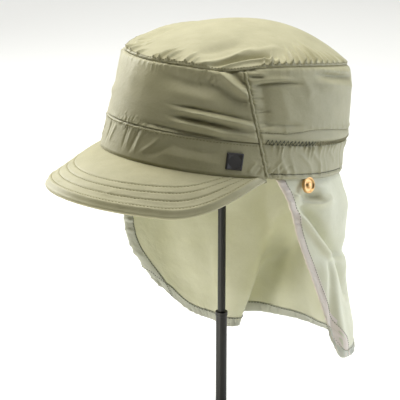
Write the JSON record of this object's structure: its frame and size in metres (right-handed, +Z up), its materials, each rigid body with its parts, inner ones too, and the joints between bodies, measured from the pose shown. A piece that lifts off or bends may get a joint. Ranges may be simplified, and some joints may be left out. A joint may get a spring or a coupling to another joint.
{
  "type": "cadet cap on display stand",
  "caption": "Soft flat-topped cadet cap with a stitched peak and a hanging neck cape, held up by a slim black display stand with a round foot.",
  "frame": {"origin": "centre of the stand's foot, on the surface that it stands on", "axes": "+Z up; -Y towards the peak; +X towards the wearer's left"},
  "size_m": [0.1718, 0.2578, 0.351],
  "materials": {
    "khaki_nylon": "plain-woven nylon, slight sheen",
    "khaki_nylon_band": "plain-woven nylon, slight sheen",
    "pale_khaki_nylon": "thin plain-woven nylon, matt",
    "folded_hem": "doubled and stitched hem, matt",
    "dark_rubber": "matt",
    "polished_brass": "polished",
    "black_enamel": "satin black enamel",
    "blackened_steel": "satin black",
    "black_plastic": "matt moulded plastic"
  },
  "bodies": {
    "root": {"crown_top": "khaki_nylon", "crown_front": "khaki_nylon", "crown_back": "khaki_nylon", "band_front": "khaki_nylon_band", "band_back": "khaki_nylon_band", "peak": "khaki_nylon", "neck_cape": "pale_khaki_nylon", "cape_hem": "folded_hem", "patch": "dark_rubber", "stud_left": "polished_brass", "stud_right": "polished_brass", "stand_foot": "black_enamel", "stand_tube": "black_enamel", "stand_rod": "blackened_steel", "stand_rest": "black_plastic"}
  },
  "joints": []
}
